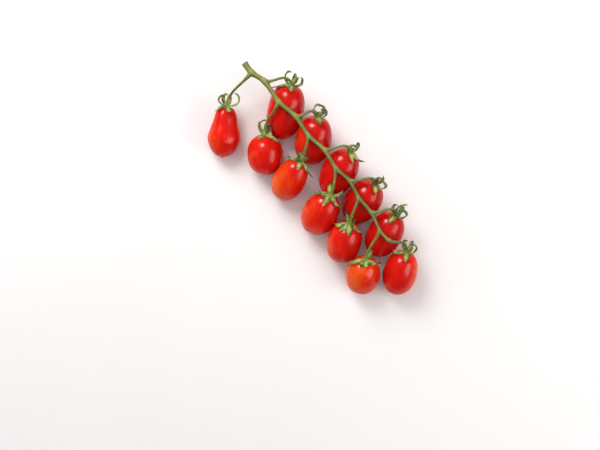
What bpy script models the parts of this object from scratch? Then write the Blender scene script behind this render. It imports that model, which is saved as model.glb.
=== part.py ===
# A truss of small plum tomatoes lying on a flat surface, in metres. One main stem zigzags from
# node to node, and every node sends a stalk to one fruit, left and right in turn. +X runs along
# the main stem from its cut end to its tip, +Z is up and the surface is z = 0.
import math

import bmesh
import bpy
from mathutils import Matrix, Vector
from mathutils.bvhtree import BVHTree
from mathutils.geometry import interpolate_bezier

# Driving dimensions
FRUIT_DIAMETER = 0.025
FRUIT_LENGTH = 0.034
STEM_LENGTH = 0.1575
STEM_CUT_DIAMETER = 0.0041
STEM_TIP_DIAMETER = 0.0021
STALK_REACH = 0.018
STALK_DIAMETER = 0.0021
KNUCKLE_DIAMETER = 0.0031
KNUCKLE_DISTANCE = 0.0040   # from the bend of the short stalk to its knuckle
BEND_HEIGHT = 0.0033        # from the fruit to that bend
RECEPTACLE_DIAMETER = 0.0050
RECEPTACLE_HEIGHT = 0.0018
SEPAL_LENGTH = 0.0120
SEPAL_WIDTH = 0.0034
SEPAL_THICKNESS = 0.0009
DIMPLE_DEPTH = 0.0008
DIMPLE_RADIUS = 0.0030
TIP_HEIGHT = 0.0008
TIP_RADIUS = 0.0018
TOUCH_GAP = 0.0003          # between two pieces that touch
FRUIT_CLEARANCE = 0.0005    # between two fruits, measured from the corners of their meshes
CONTACT_DEPTH = 0.0004      # how far a soft fruit flattens where it rests
TIP_BLOCK = 2.2             # roundness of the tip half of a fruit, 2 is an ellipse

# Fineness of the meshes
FRUIT_SEGMENTS = 14
FRUIT_RINGS = 9
STEM_SIDES = 8
STALK_SIDES = 6
SEPAL_STATIONS = 8
STEM_STEP = 0.004

# One row for each fruit, from the cut end of the stem to its tip:
# place of its node along the stem (share), sideways sway of that node (m), bearing (degrees) and
# reach (share of STALK_REACH) of its stalk, heading and tilt of the fruit's axis (degrees, tilt
# raises the stem end), girth and length (shares), neck (how much the stem end narrows) and
# block (how square the stem half's shoulders are, 2 is an ellipse)
FRUITS = [
    (0.055, -0.0004, -79, 1.58, -45, 12, 0.88, 1.06, 0.30, 3.2),
    (0.121, 0.0027, 43, 1.00, -52, 26, 1.00, 1.18, 0.00, 2.7),
    (0.230, 0.0014, -62, 1.34, -38, 20, 0.96, 0.85, 0.00, 2.4),
    (0.326, 0.0040, 50, 0.85, -50, 30, 1.02, 1.05, 0.05, 2.5),
    (0.430, 0.0025, -62, 0.96, -70, 36, 0.93, 1.03, 0.08, 2.2),
    (0.517, 0.0047, 42, 0.98, -69, 34, 0.99, 1.10, 0.00, 2.4),
    (0.614, 0.0029, -50, 1.00, -67, 40, 1.02, 1.03, 0.06, 2.2),
    (0.693, 0.0047, 40, 0.98, -74, 34, 0.98, 1.03, 0.00, 2.4),
    (0.776, 0.0022, -57, 1.03, -54, 38, 0.98, 0.96, 0.00, 2.2),
    (0.862, 0.0023, 45, 0.94, -67, 34, 0.98, 1.06, 0.04, 2.4),
    (0.948, -0.0010, -68, 1.21, -47, 42, 0.95, 0.87, 0.00, 2.2),
    (1.000, -0.0006, 17, 0.88, -54, 28, 0.97, 0.98, 0.04, 2.3),
]

# The sepals of each calyx: bearing round the fruit's axis (0 faces the sky, 90 to the right with
# the fruit's tip towards the viewer), length (share of SEPAL_LENGTH), lift off square to the axis
# (plus towards the stalk), curl (degrees turned from root to tip) and swirl (degrees sideways)
CALYXES = [
    [(-52, 0.85, -50, 30, 0), (22, 0.80, -60, 30, 0), (82, 1.30, 0, 170, 10),
     (-96, 1.00, -5, 210, 0), (-150, 1.15, 20, 220, 20), (160, 0.80, 15, 120, 0)],
    [(-112, 1.10, 20, 150, 10), (42, 0.85, 55, 15, 0), (8, 0.80, -60, 30, 0),
     (92, 0.95, -10, 150, 30), (-72, 1.15, -30, 10, -20), (165, 0.80, 20, 110, 0)],
    [(-82, 1.35, 35, 190, 25), (-135, 0.80, 40, 60, 0), (84, 0.80, 10, 70, 0),
     (48, 1.05, -50, 15, 25), (-35, 0.75, -55, 20, 0), (150, 0.90, 20, 140, 0)],
    [(-120, 1.20, 30, 190, 30), (-40, 1.10, 20, 230, 10), (78, 0.95, 5, 200, 0),
     (18, 0.75, -55, 30, 0), (140, 1.00, 25, 170, -20)],
    [(-12, 0.80, 20, 170, 0), (-80, 0.75, -30, 40, 0), (12, 0.75, -60, 10, 0),
     (70, 1.15, -35, 20, 15), (-140, 0.70, 25, 120, 0), (140, 0.70, 25, 120, 0)],
    [(-70, 1.00, 25, 230, 0), (-10, 0.95, 15, 210, 20), (74, 1.00, -25, 60, 0),
     (35, 0.80, -50, 40, 0), (150, 0.90, 20, 150, 0)],
    [(-50, 0.85, -5, 60, -10), (-85, 0.95, -45, 30, 0), (-8, 0.95, -62, 15, 0),
     (62, 0.95, -40, 70, 0), (120, 0.80, 0, 100, 0), (-150, 0.70, 20, 120, 0)],
    [(-60, 1.10, 30, 240, 10), (-5, 0.75, 40, 60, 0), (76, 1.10, -25, 230, 15),
     (30, 0.80, -50, 30, 0), (150, 0.80, 20, 130, 0)],
    [(-66, 0.90, -30, 60, 0), (-34, 0.80, -50, 35, 0), (6, 0.95, -60, 15, 0),
     (66, 0.90, -35, 50, 0), (30, 0.85, 50, 25, 0), (-140, 0.80, 30, 60, 0)],
    [(-58, 1.15, 45, 100, 0), (12, 0.80, 15, 160, 0), (82, 1.15, -15, 240, 10),
     (-12, 0.80, -55, 30, 0), (-120, 0.80, 20, 150, 0), (150, 0.80, 20, 150, 0)],
    [(-74, 1.10, -30, 40, 0), (-30, 0.75, -30, 90, 0), (6, 0.80, -60, 15, 0),
     (68, 1.05, -30, 110, 0), (150, 0.80, 20, 120, 0)],
    [(84, 1.25, 0, 240, 10), (28, 0.85, 45, 60, 0), (-70, 0.85, -35, 80, 0),
     (4, 0.85, -58, 20, 0), (-140, 0.90, 20, 150, 0), (150, 0.80, 20, 120, 0)],
]


def polar(bearing, reach=1.0):
    angle = math.radians(bearing)
    return Vector((math.cos(angle) * reach, math.sin(angle) * reach, 0.0))


def make_material(name, color, roughness):
    material = bpy.data.materials.new(name)
    material.use_nodes = True
    shader = material.node_tree.nodes["Principled BSDF"]
    shader.inputs["Base Color"].default_value = (*color, 1.0)
    shader.inputs["Roughness"].default_value = roughness
    shader.inputs["Metallic"].default_value = 0.0
    return material


def add_object(name, mesh, material):
    mesh.materials.clear()
    mesh.materials.append(material)
    mesh.shade_smooth()
    piece = bpy.data.objects.new(name, mesh)
    bpy.context.scene.collection.objects.link(piece)
    return piece


def mesh_from(bm, name):
    bmesh.ops.recalc_face_normals(bm, faces=bm.faces)
    mesh = bpy.data.meshes.new(name)
    bm.to_mesh(mesh)
    bm.free()
    return mesh


def surface_of(piece):
    """A tree for finding the nearest point on a piece."""
    corners = [vert.co for vert in piece.data.vertices]
    return BVHTree.FromPolygons(corners, [face.vertices for face in piece.data.polygons])


# --- Fruits ---

def side_radius(share, girth, neck, block):
    """Radius of a fruit at a height from -1 (blossom tip) to 1 (stem end)."""
    round_part = (1.0 - abs(share) ** block) ** (1.0 / block)
    stem_side = min(max((share + 0.30) / 0.85, 0.0), 1.0)
    waist = 1.0 - neck * stem_side * stem_side * (3.0 - 2.0 * stem_side)
    return 0.5 * FRUIT_DIAMETER * girth * round_part * waist


def fruit_axes(heading, tilt):
    """Columns: towards the sky, towards the right and out of the stem end."""
    out = -polar(heading) * math.cos(math.radians(tilt))
    out.z = math.sin(math.radians(tilt))
    side = out.cross(Vector((0, 0, 1))).normalized()
    sky = side.cross(out)
    return Matrix((sky, side, out)).transposed()


def shape_fruit(axes, girth, length, neck, block):
    """A fruit round the origin, already turned, with its dimple and its pointed tip."""
    bm = bmesh.new()
    bmesh.ops.create_uvsphere(bm, u_segments=FRUIT_SEGMENTS, v_segments=FRUIT_RINGS, radius=1.0)
    half = 0.5 * FRUIT_LENGTH * length
    for vert in bm.verts:
        power = block if vert.co.z > 0.0 else TIP_BLOCK
        share = math.copysign(min(abs(vert.co.z), 1.0) ** (2.0 / power), vert.co.z)
        radius = side_radius(share, girth, neck, power)
        flat = Vector((vert.co.x, vert.co.y))
        flat = flat.normalized() * radius if flat.length > 1e-5 else Vector((0.0, 0.0))
        height = half * share
        if share > 0.0:
            height -= DIMPLE_DEPTH * math.exp(-(flat.length / DIMPLE_RADIUS) ** 2)
        else:
            height -= TIP_HEIGHT * math.exp(-(flat.length / TIP_RADIUS) ** 2)
        vert.co = (flat.x, flat.y, height)
    bmesh.ops.transform(bm, matrix=axes.to_4x4(), verts=bm.verts)
    return bm


def receptacle_rim(axes, half):
    """Points round the receptacle of a fruit at the origin, which neighbours keep off too."""
    top = axes.col[2] * (half + RECEPTACLE_HEIGHT)
    spokes = [axes.col[0] * math.cos(turn) + axes.col[1] * math.sin(turn)
              for turn in (math.radians(45 * step) for step in range(8))]
    return [top + spoke * 0.5 * RECEPTACLE_DIAMETER for spoke in spokes]


def lay_out_fruits():
    """Puts each fruit at the end of its stalk, resting on the surface."""
    fruits = []
    for row in FRUITS:
        share, sway, bearing, reach, heading, tilt, girth, length, neck, block = row
        node = Vector((share * STEM_LENGTH, sway, 0.0))
        axes = fruit_axes(heading, tilt)
        half = 0.5 * FRUIT_LENGTH * length
        bm = shape_fruit(axes, girth, length, neck, block)
        corners = [vert.co.copy() for vert in bm.verts]
        lowest = min(corner.z for corner in corners)
        corners += receptacle_rim(axes, half)
        centre = node + polar(bearing, reach * STALK_REACH) - axes.col[2] * half
        centre.z = -lowest - CONTACT_DEPTH
        fruits.append({
            "node": node, "bearing": bearing, "axes": axes, "half": half,
            "centre": centre, "mesh": bm, "corners": corners,
            "skin": BVHTree.FromBMesh(bm),
        })
    return fruits


def worst_overlap(first, second):
    """How far one fruit reaches into another's clearance, and the way out of it."""
    worst = 0.0
    push = None
    shift = first["centre"] - second["centre"]
    for corner in first["corners"]:
        place = corner + shift
        near, normal, _, gap = second["skin"].find_nearest(place)
        inside = (place - near).dot(normal) < 0.0
        overlap = FRUIT_CLEARANCE - (-gap if inside else gap)
        if overlap > worst:
            worst = overlap
            push = Vector((normal.x, normal.y, 0.0)).normalized()
    return worst, push


def nudge_apart(fruits, rounds=150):
    """Slides fruits sideways on the surface until they only touch."""
    for _ in range(rounds):
        moved = False
        for first in fruits:
            for second in fruits:
                apart = (first["centre"] - second["centre"]).length
                if first is second or apart > first["half"] + second["half"] + TIP_HEIGHT * 4:
                    continue
                worst, push = worst_overlap(first, second)
                if push:
                    first["centre"] += push * worst * 0.5
                    second["centre"] -= push * worst * 0.5
                    moved = True
        if not moved:
            break


def set_down(fruit):
    """Moves the fruit to its place and flattens it where it touches the surface."""
    bm = fruit["mesh"]
    bmesh.ops.translate(bm, vec=fruit["centre"], verts=bm.verts)
    cut = bmesh.ops.bisect_plane(
        bm, geom=bm.verts[:] + bm.edges[:] + bm.faces[:], dist=1e-6,
        plane_co=(0, 0, 0), plane_no=(0, 0, -1), clear_outer=True)
    rim = [item for item in cut["geom_cut"] if isinstance(item, bmesh.types.BMEdge)]
    bmesh.ops.contextual_create(bm, geom=rim)
    fruit["seat"] = fruit["centre"] + fruit["axes"].col[2] * fruit["half"]
    fruit["surface"] = BVHTree.FromBMesh(bm)


# --- Stems and stalks ---

def sweep(stations, sides):
    """A closed skin through rings given as (place, across, through, half width, half depth)."""
    bm = bmesh.new()
    last_ring = None
    for place, across, through, half_width, half_depth in stations:
        turn = Matrix((across, through, across.cross(through))).transposed().to_4x4()
        size = Matrix.Diagonal((half_width, half_depth, 1.0, 1.0))
        ring = bmesh.ops.create_circle(
            bm, segments=sides, radius=1.0, matrix=Matrix.Translation(place) @ turn @ size)
        edges = list({edge for vert in ring["verts"] for edge in vert.link_edges})
        if last_ring:
            bmesh.ops.bridge_loops(bm, edges=last_ring + edges)
        last_ring = edges
    bmesh.ops.holes_fill(bm, edges=bm.edges, sides=sides)
    return mesh_from(bm, "shell")


def tube(points, radii, sides):
    """A round stem along the points, its rings carried along without twist."""
    stations = []
    across = None
    for index, point in enumerate(points):
        before = points[max(index - 1, 0)]
        after = points[min(index + 1, len(points) - 1)]
        tangent = (after - before).normalized()
        if across is None:
            across = tangent.orthogonal().normalized()
        across = (across - tangent * across.dot(tangent)).normalized()
        stations.append((point, across, tangent.cross(across), radii[index], radii[index]))
    return sweep(stations, sides)


def smooth_path(points, step):
    """Points about a step apart on a soft curve through the given ones."""
    path = [points[0]]
    for index in range(len(points) - 1):
        start, end = points[index], points[index + 1]
        before = points[max(index - 1, 0)]
        after = points[min(index + 2, len(points) - 1)]
        count = max(2, round((end - start).length / step))
        handle_a = start + (end - before) / 9.0
        handle_b = end - (after - start) / 9.0
        path += interpolate_bezier(start, handle_a, handle_b, end, count + 1)[1:]
    return path


def clear_of_fruits(points, radii, fruits):
    """Pushes the inner points of a stalk out of every fruit that they would enter."""
    for _ in range(4):
        for index in range(1, len(points) - 2):
            margin = radii[index] + TOUCH_GAP * 1.5
            for fruit in fruits:
                near, normal, _, gap = fruit["surface"].find_nearest(points[index])
                if gap < margin or (points[index] - near).dot(normal) < 0.0:
                    points[index] = near + normal * margin
    return points


def stem_radius(share):
    thin = 0.5 * STEM_TIP_DIAMETER
    thick = 0.5 * STEM_CUT_DIAMETER
    flare = 0.16 * math.exp(-share / 0.02)
    return (thick + (thin - thick) * share ** 0.65) * (1.0 + flare)


def stem_points(fruits):
    """The main stem lies across the tops of the fruits under it, level along its length."""
    places = [Vector((0.0, 0.0, 0.0))] + [fruit["node"].copy() for fruit in fruits]
    path = smooth_path(places, STEM_STEP)
    height = 0.0
    for point in path:
        reach = stem_radius(max(point.x, 0.0) / STEM_LENGTH)
        for offset in (-reach, 0.0, reach):
            above = point + Vector((0.0, offset, 1.0))
            for fruit in fruits:
                hit = fruit["surface"].ray_cast(above, Vector((0, 0, -1)))[0]
                if hit:
                    height = max(height, hit.z + reach + TOUCH_GAP)
    for point in path:
        point.z = height
    return path, height


def short_stalk(fruit, arrive):
    """The bent stalk between a receptacle and its knuckle, as points."""
    out = fruit["axes"].col[2]
    top = fruit["seat"] + out * RECEPTACLE_HEIGHT
    knuckle = fruit["seat"] + out * BEND_HEIGHT + arrive * KNUCKLE_DISTANCE
    neck = knuckle - arrive * KNUCKLE_DISTANCE * 0.3
    bend = (BEND_HEIGHT - RECEPTACLE_HEIGHT) * 0.8
    return interpolate_bezier(top, top + out * bend, neck - arrive * bend, neck, 4) + [knuckle]


def aim_knuckle(fruit, root, fruits):
    """Points the knuckle at its node, and higher where a neighbouring fruit is in the way."""
    lean = (root - fruit["seat"]).normalized()
    margin = 0.5 * KNUCKLE_DIAMETER + TOUCH_GAP
    for rise in range(10):
        arrive = (fruit["axes"].col[2] * 0.3 + lean + Vector((0, 0, 0.2 * rise))).normalized()
        points = short_stalk(fruit, arrive)
        gaps = [other["surface"].find_nearest(point)[3]
                for other in fruits if other is not fruit for point in points]
        if min(gaps) > margin:
            break
    fruit["arrive"] = arrive
    fruit["knuckle"] = points[-1]


def stalk_path(fruit, height, fruits):
    """From the node to the knuckle, ending in line with the fruit's own short stalk."""
    root = Vector((fruit["node"].x, fruit["node"].y, height))
    aim_knuckle(fruit, root, fruits)
    arrive, knuckle = fruit["arrive"], fruit["knuckle"]
    span = (knuckle - root).length
    leave = polar(fruit["bearing"])
    leave.z = -0.1
    neck = knuckle + arrive * KNUCKLE_DISTANCE * 0.3
    points = interpolate_bezier(
        root, root + leave * span * 0.35, neck + arrive * span * 0.25, neck, 7)
    return points + [knuckle]


def fill_pockets(mesh):
    """Makes the sealed pockets between overlapping sepals solid."""
    bm = bmesh.new()
    bm.from_mesh(mesh)
    bmesh.ops.triangulate(bm, faces=bm.faces)
    left = set(bm.verts)
    while left:
        island = {left.pop()}
        queue = list(island)
        while queue:
            around = {vert for edge in queue.pop().link_edges for vert in edge.verts} & left
            left -= around
            island |= around
            queue += around
        faces = {face for vert in island for face in vert.link_faces}
        corners = [[vert.co for vert in face.verts] for face in faces]
        if sum(a.dot(b.cross(c)) for a, b, c in corners) < 0.0:
            bmesh.ops.delete(bm, geom=list(island), context="VERTS")
    bm.to_mesh(mesh)
    bm.free()


def fuse(name, shells, material):
    """One closed solid out of shells that run into each other."""
    parts = [add_object(name + "_shell", shell, material) for shell in shells]
    base = parts[0]
    for part in parts[1:]:
        union = base.modifiers.new("union", "BOOLEAN")
        union.operation = "UNION"
        union.solver = "MANIFOLD"
        union.object = part
    bpy.context.view_layer.update()
    graph = bpy.context.evaluated_depsgraph_get()
    mesh = bpy.data.meshes.new_from_object(base.evaluated_get(graph), depsgraph=graph)
    for part in parts:
        bpy.data.objects.remove(part)
    mesh.name = name
    fill_pockets(mesh)
    return add_object(name, mesh, material)


def build_main_stem(fruits, material):
    path, height = stem_points(fruits)
    radii = []
    for point in path:
        swelling = 0.0
        for fruit in fruits:
            along = (point - fruit["node"]).xy.length
            swelling = max(swelling, 0.14 * math.exp(-(along / 0.0025) ** 2))
        radii.append(stem_radius(max(point.x, 0.0) / STEM_LENGTH) * (1.0 + swelling))
    shells = [tube(path, radii, STEM_SIDES)]
    for fruit in fruits:
        points = stalk_path(fruit, height, fruits)
        thin = 0.5 * STALK_DIAMETER
        widths = [thin * 1.35, thin * 1.15] + [thin] * 4 + [thin * 1.1, 0.5 * KNUCKLE_DIAMETER]
        clear_of_fruits(points, widths, fruits)
        shells.append(tube(points, widths, STALK_SIDES))
    return fuse("main_stem", shells, material)


# --- Calyxes ---

def drape(place, fruit, half_depth):
    """Lays a point of a sepal on its own fruit where it would sink into it."""
    near, normal, _, gap = fruit["surface"].find_nearest(place)
    margin = TOUCH_GAP * 1.3 + half_depth
    if gap < margin or (place - near).dot(normal) < 0.0:
        return near + normal * margin
    return place


def sepal_stations(fruit, sepal, order):
    """Rings along a sepal. Each one is rooted a little higher than the last, as on a spiral."""
    bearing, length, lift, curl, swirl = sepal
    sky, side, out = fruit["axes"].col
    step = SEPAL_LENGTH * length / (SEPAL_STATIONS - 1)
    place = fruit["seat"] + out * RECEPTACLE_HEIGHT * (0.34 + 0.04 * order)
    stations = []
    for index in range(SEPAL_STATIONS):
        share = index / (SEPAL_STATIONS - 1)
        around = math.radians(bearing + swirl * share)
        slope = math.radians(lift + curl * share ** 1.5)
        spoke = sky * math.cos(around) + side * math.sin(around)
        tangent = spoke * math.cos(slope) + out * math.sin(slope)
        across = spoke.cross(out)
        depth = 1.0 - 0.6 * share
        if index == 0:
            place = place + spoke * 0.25 * RECEPTACLE_DIAMETER
        else:
            place = drape(place + tangent * step, fruit, 0.5 * SEPAL_THICKNESS * depth)
        width = 0.12 + 0.88 * math.sin(math.pi * min(0.32 + 0.68 * share, 0.97)) ** 0.8
        stations.append((place, across, across.cross(tangent) * -1.0,
                         0.5 * SEPAL_WIDTH * width, 0.5 * SEPAL_THICKNESS * depth))
    return stations


def is_clear(stations, fruit, fruits, stems):
    """True where a sepal keeps off every fruit, the main stem and the other calyxes."""
    for place, _, _, half_width, half_depth in stations[1:]:
        around = [(stem, half_width, STEM_CUT_DIAMETER) for stem in stems]
        for other in fruits:
            reach = half_depth if other is fruit else half_width
            around.append((other["surface"], reach, FRUIT_DIAMETER))
        for surface, reach, thickness in around:
            near, normal, _, gap = surface.find_nearest(place)
            inside = gap < 0.5 * thickness and (place - near).dot(normal) < 0.0
            if inside or gap < reach + TOUCH_GAP:
                return False
    return min(station[0].z for station in stations) > SEPAL_WIDTH


def settle_sepal(fruit, sepal, order, fruits, stems):
    """Lifts a sepal, and then shortens it, until it keeps off everything round it."""
    bearing, length, lift, curl, swirl = sepal
    for share in (1.0, 0.85, 0.7, 0.55, 0.4):
        for turn in (0, 8, -8, 16, -16, 24, 32, 40, 50):
            tried = (bearing, length * share, lift + turn, curl, swirl)
            stations = sepal_stations(fruit, tried, order)
            if is_clear(stations, fruit, fruits, stems):
                return stations
    return sepal_stations(fruit, (bearing, length * 0.25, max(lift, 10), 20, 0), order)


def build_calyx(number, fruit, fruits, stems, material):
    out = fruit["axes"].col[2]
    seat = fruit["seat"]
    wide = 0.5 * RECEPTACLE_DIAMETER
    thin = 0.5 * STALK_DIAMETER
    stalk = short_stalk(fruit, fruit["arrive"])
    stalk[-1] = stalk[-1] - fruit["arrive"] * TOUCH_GAP
    points = [
        seat - out * (DIMPLE_DEPTH - TOUCH_GAP * 1.2),
        seat + out * TOUCH_GAP,
        seat + out * RECEPTACLE_HEIGHT * 0.6,
    ] + stalk
    radii = [wide * 0.45, wide * 0.9, wide, wide * 0.55, thin * 1.05, thin, thin * 1.1,
             0.5 * KNUCKLE_DIAMETER]
    shells = [tube(points, radii, STALK_SIDES)]
    for order, sepal in enumerate(CALYXES[number]):
        shells.append(sweep(settle_sepal(fruit, sepal, order, fruits, stems), 4))
    return fuse(f"calyx_{number + 1:02d}", shells, material)


# --- The whole truss ---

def centre_on_origin(pieces):
    """Hangs the pieces on one empty that puts the middle of the truss over the origin."""
    corners = [vert.co for piece in pieces for vert in piece.data.vertices]
    middle_x = 0.5 * (min(co.x for co in corners) + max(co.x for co in corners))
    middle_y = 0.5 * (min(co.y for co in corners) + max(co.y for co in corners))
    truss = bpy.data.objects.new("truss", None)
    bpy.context.scene.collection.objects.link(truss)
    truss.location = (-middle_x, -middle_y, 0.0)
    for piece in pieces:
        piece.parent = truss


def build_truss():
    skin = make_material("tomato_skin", (0.76, 0.035, 0.012), 0.22)
    bark = make_material("stem_green", (0.22, 0.27, 0.06), 0.55)
    leaf = make_material("calyx_green", (0.13, 0.24, 0.04), 0.6)
    fruits = lay_out_fruits()
    nudge_apart(fruits)
    for fruit in fruits:
        set_down(fruit)
    stems = [surface_of(build_main_stem(fruits, bark))]
    for number, fruit in enumerate(fruits):
        stems.append(surface_of(build_calyx(number, fruit, fruits, stems, leaf)))
    for number, fruit in enumerate(fruits):
        name = f"tomato_{number + 1:02d}"
        add_object(name, mesh_from(fruit["mesh"], name), skin)
    centre_on_origin([piece for piece in bpy.data.objects if piece.type == "MESH"])


for old in list(bpy.data.objects):
    bpy.data.objects.remove(old)
build_truss()
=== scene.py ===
import math
import random

import bmesh
import bpy
from mathutils import Matrix, Vector, noise
from mathutils.bvhtree import BVHTree
from mathutils.geometry import interpolate_bezier
from mathutils.kdtree import KDTree


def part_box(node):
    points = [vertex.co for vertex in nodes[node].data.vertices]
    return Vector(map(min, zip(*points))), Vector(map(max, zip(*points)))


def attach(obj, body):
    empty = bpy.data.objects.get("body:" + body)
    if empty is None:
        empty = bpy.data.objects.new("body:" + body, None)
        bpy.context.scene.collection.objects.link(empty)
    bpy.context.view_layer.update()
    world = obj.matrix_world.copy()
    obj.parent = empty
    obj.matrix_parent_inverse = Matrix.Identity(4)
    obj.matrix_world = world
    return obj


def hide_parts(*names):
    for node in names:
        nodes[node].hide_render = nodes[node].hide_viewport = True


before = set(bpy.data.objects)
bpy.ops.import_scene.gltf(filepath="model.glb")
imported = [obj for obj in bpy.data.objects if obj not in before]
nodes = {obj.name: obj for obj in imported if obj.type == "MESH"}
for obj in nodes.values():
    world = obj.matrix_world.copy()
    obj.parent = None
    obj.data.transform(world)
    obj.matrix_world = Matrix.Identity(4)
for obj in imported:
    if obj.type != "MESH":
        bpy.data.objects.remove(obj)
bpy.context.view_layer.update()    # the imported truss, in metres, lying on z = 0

up = Vector((0.0, 0.0, 1.0))


# small helpers for shapes

def mergedCopy(name):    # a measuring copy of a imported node, its loose triangles joined
    bm = bmesh.new()
    bm.from_mesh(nodes[name].data)
    bmesh.ops.remove_doubles(bm, verts=bm.verts, dist=1e-6)
    return bm


def middleOf(points):
    return sum(points, Vector((0.0, 0.0, 0.0))) / len(points)


def smoothAt(points, share):    # a soft curve through the points, share 0 to 1 along it
    spot = min(max(share, 0.0), 1.0) * (len(points) - 1)
    index = min(int(spot), len(points) - 2)
    t = spot - index
    start, end = points[index], points[index + 1]
    before = points[index - 1] if index > 0 else start * 2.0 - end
    after = points[index + 2] if index + 2 < len(points) else end * 2.0 - start
    bend = before * 2.0 - start * 5.0 + end * 4.0 - after
    snap = start * 3.0 - before - end * 3.0 + after
    return (start * 2.0 + (end - before) * t + bend * t ** 2 + snap * t ** 3) * 0.5


def softStep(low, high, value):
    t = min(max((value - low) / (high - low), 0.0), 1.0)
    return t * t * (3.0 - 2.0 * t)


def rolledSkin(rows, columns, placeAt):    # a grid rolled round into a closed skin
    bm = bmesh.new()
    along = bm.verts.layers.float.new("along")
    across = bm.verts.layers.float.new("across")
    outer = bm.verts.layers.float.new("outer")
    bmesh.ops.create_grid(bm, x_segments=columns, y_segments=rows, size=1.0)
    for vert in bm.verts:
        turn = math.pi * (vert.co.x + 1.0)
        share = 0.5 * (vert.co.y + 1.0)
        vert[along] = share
        vert[across] = math.cos(turn)
        vert[outer] = math.sin(turn)
        vert.co = placeAt(turn, share)
    bmesh.ops.remove_doubles(bm, verts=bm.verts, dist=1e-7)
    bmesh.ops.holes_fill(bm, edges=bm.edges, sides=columns)
    bmesh.ops.recalc_face_normals(bm, faces=bm.faces)
    return bm


def framesAlong(points):    # tangent, across and through at each point, without twist
    frames = []
    across = None
    for index in range(len(points)):
        before = points[max(index - 1, 0)]
        after = points[min(index + 1, len(points) - 1)]
        tangent = (after - before).normalized()
        if across is None:
            across = tangent.orthogonal().normalized()
        across = (across - tangent * across.dot(tangent)).normalized()
        frames.append((tangent, across, tangent.cross(across)))
    return frames


def tubeSkin(points, radii, sides):
    frames = framesAlong(points)
    last = len(points) - 1

    def placeAt(turn, share):
        row = round(share * last)
        spoke = frames[row][1] * math.cos(turn) + frames[row][2] * math.sin(turn)
        return points[row] + spoke * radii[row]

    return rolledSkin(last, sides, placeAt)


def joinShell(whole, shell):    # moves a shell into a bigger bmesh
    mesh = bpy.data.meshes.new("shell")
    shell.to_mesh(mesh)
    shell.free()
    whole.from_mesh(mesh)
    bpy.data.meshes.remove(mesh)


def addPiece(name, bm, material):
    mesh = bpy.data.meshes.new(name)
    bm.to_mesh(mesh)
    bm.free()
    mesh.materials.append(material)
    mesh.shade_smooth()
    piece = bpy.data.objects.new(name, mesh)
    bpy.context.scene.collection.objects.link(piece)
    return piece


def finishPiece(piece, node):
    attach(piece, "root")
    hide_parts(node)


# small helpers for materials

def startMaterial(name):
    material = bpy.data.materials.new(name)
    material.use_nodes = True
    return material, material.node_tree, material.node_tree.nodes["Principled BSDF"]


def wire(tree, socket, value):    # a value or another node's output into an input
    if isinstance(value, bpy.types.NodeSocket):
        tree.links.new(value, socket)
    else:
        socket.default_value = value


def put(tree, kind, inputs=None, **settings):
    node = tree.nodes.new(kind)
    for key, value in settings.items():
        setattr(node, key, value)
    for key, value in (inputs or {}).items():
        wire(tree, node.inputs[key], value)
    return node


def readAttribute(tree, name, output="Fac"):
    return put(tree, "ShaderNodeAttribute", attribute_name=name).outputs[output]


def calc(tree, operation, first, second=0.0, clamp=False):
    inputs = {0: first, 1: second}
    return put(tree, "ShaderNodeMath", inputs, operation=operation, use_clamp=clamp).outputs[0]


def blend(tree, factor, first, second):    # mixes two colours, each a tuple or a node's output
    node = put(tree, "ShaderNodeMix", data_type="RGBA")
    wire(tree, node.inputs[0], factor)
    for socket, color in ((node.inputs[6], first), (node.inputs[7], second)):
        wire(tree, socket, (*color, 1.0) if isinstance(color, tuple) else color)
    return node.outputs[2]


def tint(tree, color, mask, strength, target):    # moves a colour to the target under a mask
    return blend(tree, calc(tree, "MULTIPLY", mask, strength), color, target)


def remap(tree, value, low, high, newLow=0.0, newHigh=1.0):
    return put(tree, "ShaderNodeMapRange", {
        "Value": value, "From Min": low, "From Max": high, "To Min": newLow, "To Max": newHigh,
    }, interpolation_type="SMOOTHSTEP").outputs["Result"]


def rampOf(tree, factor, stops):
    node = put(tree, "ShaderNodeValToRGB", {"Fac": factor})
    elements = node.color_ramp.elements
    while len(elements) < len(stops):
        elements.new(0.5)
    for element, (place, color) in zip(elements, stops):
        element.position = place
        element.color = (*color, 1.0)
    return node.outputs["Color"]


def startGroup(name, inputs, outputs):
    group = bpy.data.node_groups.new(name, "ShaderNodeTree")
    for socketName, kind, value in inputs:
        socket = group.interface.new_socket(socketName, in_out="INPUT", socket_type=kind)
        if value is not None:
            socket.default_value = value
    for socketName, kind in outputs:
        group.interface.new_socket(socketName, in_out="OUTPUT", socket_type=kind)
    given = group.nodes.new("NodeGroupInput").outputs
    return group, given, group.nodes.new("NodeGroupOutput").inputs


def setGloss(tree, shader, grain, look, extra=None):    # roughness that varies with the grain
    low, high = look["roughness"]
    gloss = remap(tree, grain, 0.3, 0.7, low, high)
    if extra is not None:
        gloss = calc(tree, "ADD", gloss, extra)
    wire(tree, shader.inputs["Roughness"], gloss)


def setRelief(tree, shader, height, strength, distance):
    bump = put(tree, "ShaderNodeBump", {
        "Strength": strength, "Distance": distance, "Height": height})
    wire(tree, shader.inputs["Normal"], bump.outputs["Normal"])


print("node groups")


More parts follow.
